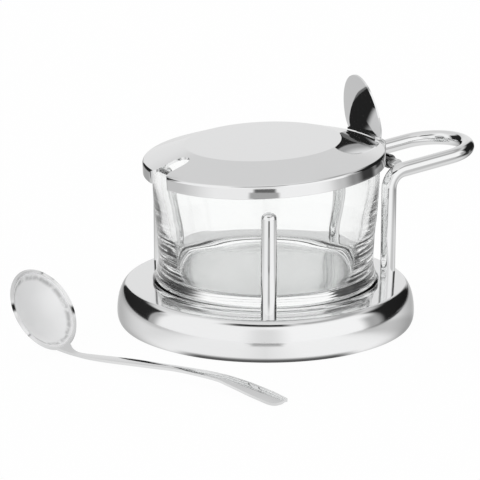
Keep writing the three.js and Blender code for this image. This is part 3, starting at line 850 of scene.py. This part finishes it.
def lever_foot(lever_x, lift):
    """The foot: a sheet that follows the lid's slope, with rounded inner corners."""
    half = LEAF_FOOT_WIDTH / 2
    thick = LEVER_SHEET / math.cos(CONE_ANGLE)
    width = FOOT_ACROSS + 1
    layer = width * (FOOT_ALONG + 1)
    vertices, faces = [], []
    for height in (lift, lift + thick):
        for i in range(FOOT_ALONG + 1):
            for k in range(width):
                y = half * (2 * k / FOOT_ACROSS - 1)
                inset = FOOT_CORNER - (half - abs(y))
                short = FOOT_CORNER - math.sqrt(FOOT_CORNER ** 2 - inset ** 2) if inset > 0 else 0
                x = lever_x - (FOOT_LENGTH - short) * i / FOOT_ALONG
                vertices.append((x, y, cone_height(math.hypot(x, y)) + height))
    for base in (0, layer):
        faces += bands([range(base + i * width, base + (i + 1) * width)
                        for i in range(FOOT_ALONG + 1)], closed=False)
    border = [(0, k) for k in range(FOOT_ACROSS)]
    border += [(i, FOOT_ACROSS) for i in range(FOOT_ALONG)]
    border += [(FOOT_ALONG, k) for k in range(FOOT_ACROSS, 0, -1)]
    border += [(i, 0) for i in range(FOOT_ALONG, 0, -1)]
    edge = [i * width + k for i, k in border]
    faces += band(edge, [e + layer for e in edge])
    return make_mesh("lever_foot", vertices, faces, CRISP_SHEET)


def thumb_lever():
    """One bent sheet: the foot on the lid's slope, the crease, and the domed leaf."""
    lever_x = LID_RADIUS + LEVER_OVERHANG
    lift = WELD_GAP / math.cos(CONE_ANGLE)
    lean = LEVER_LEAN - LID_TILT
    lever = lever_leaf()
    up = cone_height(lever_x - LEVER_SHEET) + lift + LEVER_SHEET * math.sin(lean)
    place(lever, shift(lever_x, 0, up) @ Matrix.Rotation(-lean, 4, "Y"))
    boolean(lever, lever_foot(lever_x, lift), "UNION")
    add_bevel(lever, LEVER_EDGE_ROUND, BEVEL_ANGLE)
    place(lever, LID_FRAME)
    finish_piece(lever, "lid", "thumb_lever", LEVER_STEEL)


def hinge_strap():
    """A sheet that goes down from the lid's rim and rolls round the crossbar."""
    half = STRAP_SHEET / 2
    wrap = BAR_RADIUS + BARREL_GAP + half
    fall = CONE_ANGLE - LID_TILT
    start_x = LID_SHIFT + LID_RADIUS * math.cos(LID_TILT) + WELD_GAP
    start_z = LID_HEIGHT + LID_RADIUS * math.sin(LID_TILT) - half
    bend_x = BAR_X - wrap - STRAP_BEND
    turn_x = bend_x + STRAP_BEND * math.sin(fall)
    bend_z = start_z - (turn_x - start_x) * math.tan(fall) - STRAP_BEND * math.cos(fall)

    def face(offset):
        return [
            (start_x + offset * math.sin(fall), start_z + offset * math.cos(fall)),
            *arc(bend_x, bend_z, STRAP_BEND + offset, STRAP_BEND + offset, QUARTER - fall, 0),
            *arc(BAR_X, BAR_Z, wrap - offset, wrap - offset, math.pi, math.pi + BARREL_TURN,
                 BARREL_STEPS),
        ]

    outline = face(half) + face(-half)[::-1]
    rings = [[(x, y, z) for x, z in outline] for y in (-STRAP_WIDTH / 2, STRAP_WIDTH / 2)]
    strap = loft("hinge_strap_polished", rings)
    add_bevel(strap, STRAP_EDGE_ROUND, BEVEL_ANGLE_STRAP)
    finish_piece(strap, "lid", "hinge_strap", LID_STEEL)


def strip_stations():
    """Along, height, half width and crown of the spoon's handle, in millimetres."""
    half = STRIP_WIDTH / 2
    stations = []
    for share, width in LAP_SHARES:
        along = share * DISH_LAP
        height = SPHERE_Z - math.sqrt(WALL_RADIUS ** 2 - (along - SPHERE_X) ** 2)
        crown = -((width * half) ** 2) / (2 * WALL_RADIUS)
        stations.append((along, height, width * half, crown))
    rim = stations[-1][1]
    for shares, low, high in (
        (NECK_SHARES, rim, -STRIP_DIP),
        (ARCH_SHARES, -STRIP_DIP, STRIP_ARCH),
        (TIP_SHARES, STRIP_ARCH, -STRIP_TIP_DROP),
    ):
        stations += [(along * STRIP_LENGTH, low + (high - low) * height, width * half,
                      crown * STRIP_CROWN) for along, height, width, crown in shares]
    return stations


def spoon_strip():
    """The spoon's handle: a strip of sheet, crowned across its width."""
    rings = []
    for along, height, half, crown in spline(strip_stations(), STRIP_STEPS):
        ring = []
        for side in (1, -1):
            for k in range(-STRIP_SIDE_STEPS, STRIP_SIDE_STEPS + 1):
                u = side * k / STRIP_SIDE_STEPS
                ring.append((along, half * u, height + side * STRIP_SHEET / 2 - crown * u * u))
        rings.append(ring)
    return loft("strip", rings, CRISP_SHEET)


def spoon():
    """The dish and the handle in one piece, laid on the table."""
    half_angle = math.asin(DISH_RADIUS / SPHERE_RADIUS)
    outer = SPHERE_RADIUS + SPOON_SHEET
    profile = [
        *arc(0, SPHERE_REACH, SPHERE_RADIUS, SPHERE_RADIUS, -QUARTER, half_angle - QUARTER,
             DISH_ARC_STEPS),
        *arc(0, SPHERE_REACH, outer, outer, half_angle - QUARTER, -QUARTER, DISH_ARC_STEPS),
    ]
    dish = spin("spoon_polished", profile, DISH_STEPS)
    stand_up = (shift(-DISH_RADIUS * math.cos(DISH_LEAN), 0, DISH_RADIUS * math.sin(DISH_LEAN))
                @ Matrix.Rotation(DISH_LEAN, 4, "Y") @ Matrix.Rotation(DISH_TURN, 4, "X"))
    place(dish, stand_up)
    boolean(dish, spoon_strip(), "UNION")
    add_bevel(dish, SPOON_EDGE_ROUND, BEVEL_ANGLE)
    low = min(v.co.z for v in dish.data.vertices)
    lay = (Matrix.Translation((0, 0, -low)) @ shift(*SPOON_PLACE, 0)
           @ Matrix.Rotation(SPOON_HEADING, 4, "Z"))
    place(dish, lay)
    deepest = lay @ stand_up @ Vector((0, 0, -DISH_DEPTH * MM))
    metal = spoon_steel([c / MM for c in deepest])
    finish_piece(dish, "spoon", "spoon", metal)
    # The photographed metal doesn't mirror the spoon
    dish.visible_glossy = False


def carried_nodes():
    """Materials for the solids that no piece of the scene replaces."""
    for name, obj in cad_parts.items():
        if name.startswith(("washer_", "nut_")):
            set_material(obj, FASTENER_STEEL)
        if name == "bottom_plate":
            set_material(obj, PAD_PLASTIC)


# Stage


def camera():
    data = bpy.data.cameras.new("photo_camera")
    data.lens = CAMERA_LENS
    data.sensor_width = SENSOR_WIDTH
    data.sensor_fit = "HORIZONTAL"
    data.clip_end = CAMERA_REACH
    obj = new_object("photo_camera", data)
    obj.location = [c * MM for c in CAMERA_PLACE]
    obj.rotation_euler = (QUARTER - CAMERA_PITCH, 0, -CAMERA_AZIMUTH)
    bpy.context.scene.camera = obj


# The studio is what the polished metal shows. Directions are degrees round the camera's line of
# sight: 0 lies behind the dish, 90 to the camera's right. Each row: from, to, lowest, highest,
# softness across, softness upwards, brightness. Later rows lie over earlier ones, and a row that
# crosses 180 is given twice, with ends past it. BETWEEN is the brightness where no row lies.
BACK = 300
ZENITH = 100
GROUND = -40
STUDIO_BETWEEN = 0.83
STUDIO_CARDS = [
    (-60, 60, 24, ZENITH, 20, 8, 0.72),
    (-BACK, -84, GROUND, ZENITH, 14, 10, 0.98),
    (88, BACK, GROUND, ZENITH, 9, 10, 1.03),
    (168, BACK, GROUND, 34, 10, 8, 0.8),
    (-BACK, -168, GROUND, 34, 10, 8, 0.8),
    (-BACK, BACK, 66, ZENITH, 10, 8, 0.76),
    (24, 150, 48, 62, 14, 7, 0.4),
    (156, BACK, 45, 60, 10, 4, 0.015),
    (-BACK, -140, 45, 60, 14, 4, 0.015),
    (-88, -76, -10, 30, 5, 8, 0.42),
    (78, 98, -10, 24, 6, 8, 0.42),
]
# The dark flags on both sides, which the glass shows as well
STUDIO_FLAGS = [
    (24, 81, GROUND, 40, 5, 7, 0.015),
    (-79.2, -22, -5, 37, 1.2, 4, 0.02),
]
# Painted reflections: patches painted on the floor that only the metal shows, the last two rows a
# painted contact shadow round the base's front. The rows are the same, but with the nearest and the
# farthest distance from the dish's centre in millimetres in place of lowest and highest.
INWARDS = -100
FAR = 9000
FLOOR_BETWEEN = 0.8
PAINTED_FLOOR_PATCHES = [
    (-176, -128, INWARDS, FAR, 12, 40, 0.95),
    (122, 176, INWARDS, FAR, 14, 40, 1.0),
    (-112, -14, 150, FAR, 14, 60, 0.6),
    (-85, -18, 500, FAR, 8, 100, 0.14),
    (88, 116, INWARDS, FAR, 8, 40, 0.6),
    (60, 101, 220, FAR, 7, 60, 0.27),
    (36, 60, 180, 340, 8, 40, 0.38),
    (24, 60, 335, FAR, 6, 20, 0.02),
    (62, 85, 258, FAR, 6, 25, 0.02),
    (171, BACK, 118, 340, 2, 12, 0.45),
    (-BACK, -171, 118, 340, 2, 12, 0.45),
    (171, BACK, 182, 340, 2, 12, 0.12),
    (-BACK, -171, 182, 340, 2, 12, 0.12),
    (168, BACK, 190, 262, 2, 8, 0.4),
    (-BACK, -167, 190, 262, 2, 8, 0.4),
    # Painted contact shadow round the base's front, seen in the metal
    (147, BACK, INWARDS, 60.5, 7, 1.5, 0.1),
    (-BACK, -147, INWARDS, 60.5, 7, 1.5, 0.1),
]
FLOOR_HALF_WIDTH = 6000
FLOOR_WHITE = (0.85, 0.85, 0.85)
# The share of plain white in the floor that is seen: the rest keeps the object's shadow
FLOOR_GLOW = 0.97
WHITE = (1, 1, 1)
BOUNCES = 24


def card_share(tree, around, height, card):
    start, end, low, high, soft_around, soft_height, _ = card
    across = maths(tree, "MULTIPLY",
                   smooth(tree, around, start - soft_around, start + soft_around),
                   smooth(tree, around, end + soft_around, end - soft_around))
    upright = maths(tree, "MULTIPLY",
                    smooth(tree, height, low - soft_height, low + soft_height),
                    smooth(tree, height, high + soft_height, high - soft_height))
    return maths(tree, "MULTIPLY", across, upright)


def card_brightness(tree, around, height, cards, brightness):
    for card in cards:
        share = card_share(tree, around, height, card)
        brightness = blend(tree, share, brightness, card[-1])
    return brightness


def turned_parts(tree, vector):
    """X, Y and Z of a direction or place, turned so that Y runs along the line of sight."""
    turn = tree.nodes.new("ShaderNodeVectorRotate")
    turn.rotation_type = "Z_AXIS"
    feed(tree, turn, {"Vector": vector, "Angle": CAMERA_AZIMUTH})
    parts = tree.nodes.new("ShaderNodeSeparateXYZ")
    feed(tree, parts, {"Vector": turn.outputs["Vector"]})
    return parts.outputs["X"], parts.outputs["Y"], parts.outputs["Z"]


def in_degrees(tree, operation, *values):
    return maths(tree, "MULTIPLY", maths(tree, operation, *values), math.degrees(1))


def floor():
    """A white floor that keeps the shadow, and shows the metal alone its painted reflections."""
    half = FLOOR_HALF_WIDTH
    corners = [(-half, -half, 0), (half, -half, 0), (half, half, 0), (-half, half, 0)]
    plane = make_mesh("floor", corners, [[0, 1, 2, 3]], closed=False)
    material, tree, shader = new_material("floor_white")
    feed(tree, shader, {"Base Color": opaque(FLOOR_WHITE), "Roughness": 1, "Specular IOR Level": 0})
    x, y, _ = turned_parts(tree, place_on_object(tree))
    around = in_degrees(tree, "ARCTAN2", x, y)
    distance = maths(tree, "DIVIDE", distance_from(tree, (0, 0, 0)), MM)
    # Painted reflections and contact shadow: what the metal sees of the floor
    painted_in_metal = card_brightness(tree, around, distance, PAINTED_FLOOR_PATCHES, FLOOR_BETWEEN)
    rays = light_path(tree)
    # A ray that is bent by the glass counts as glossy too
    in_metal = maths(tree, "SUBTRACT", rays["Is Glossy Ray"], rays["Is Transmission Ray"],
                     clamp=True)
    glow = tree.nodes.new("ShaderNodeEmission")
    feed(tree, glow, {"Strength": blend(tree, in_metal, 1, painted_in_metal)})
    seen = maths(tree, "MAXIMUM", rays["Is Camera Ray"], rays["Is Glossy Ray"])
    seen = maths(tree, "MAXIMUM", seen, rays["Is Transmission Ray"])
    mix_shaders(tree, maths(tree, "MULTIPLY", seen, FLOOR_GLOW), shader.outputs["BSDF"],
                glow.outputs["Emission"], "Material Output")
    set_material(plane, material)


def studio_world():
    """Plain white to the camera and as light, with the flags for the glass, all for the metal."""
    world = bpy.data.worlds.new("studio")
    bpy.context.scene.world = world
    world.use_nodes = True
    tree = world.node_tree
    x, y, z = turned_parts(tree, tree.nodes.new("ShaderNodeTexCoord").outputs["Generated"])
    around = in_degrees(tree, "ARCTAN2", x, y)
    height = in_degrees(tree, "ARCSINE", z)
    in_metal = card_brightness(tree, around, height, STUDIO_CARDS + STUDIO_FLAGS, STUDIO_BETWEEN)
    in_glass = card_brightness(tree, around, height, STUDIO_FLAGS, 1)
    rays = light_path(tree)
    plain = maths(tree, "MAXIMUM", rays["Is Camera Ray"], rays["Is Diffuse Ray"])
    room = tree.nodes["Background"]
    feed(tree, room, {"Color": opaque(WHITE), "Strength": in_metal})
    backdrop = tree.nodes.new("ShaderNodeBackground")
    feed(tree, backdrop, {"Color": opaque(WHITE), "Strength": blend(tree, plain, in_glass, 1)})
    seen = maths(tree, "MAXIMUM", plain, rays["Is Transmission Ray"])
    mix_shaders(tree, seen, room.outputs["Background"], backdrop.outputs["Background"],
                "World Output")


camera()
base_shell()
pegs()
handle_rod()
hinge_bar()
glass_bowl()
lid_shell()
thumb_lever()
hinge_strap()
spoon()
carried_nodes()
floor()
studio_world()
bpy.context.scene.view_settings.view_transform = "Standard"
bpy.context.scene.cycles.max_bounces = BOUNCES
bpy.context.scene.cycles.glossy_bounces = BOUNCES
bpy.context.scene.cycles.transmission_bounces = BOUNCES
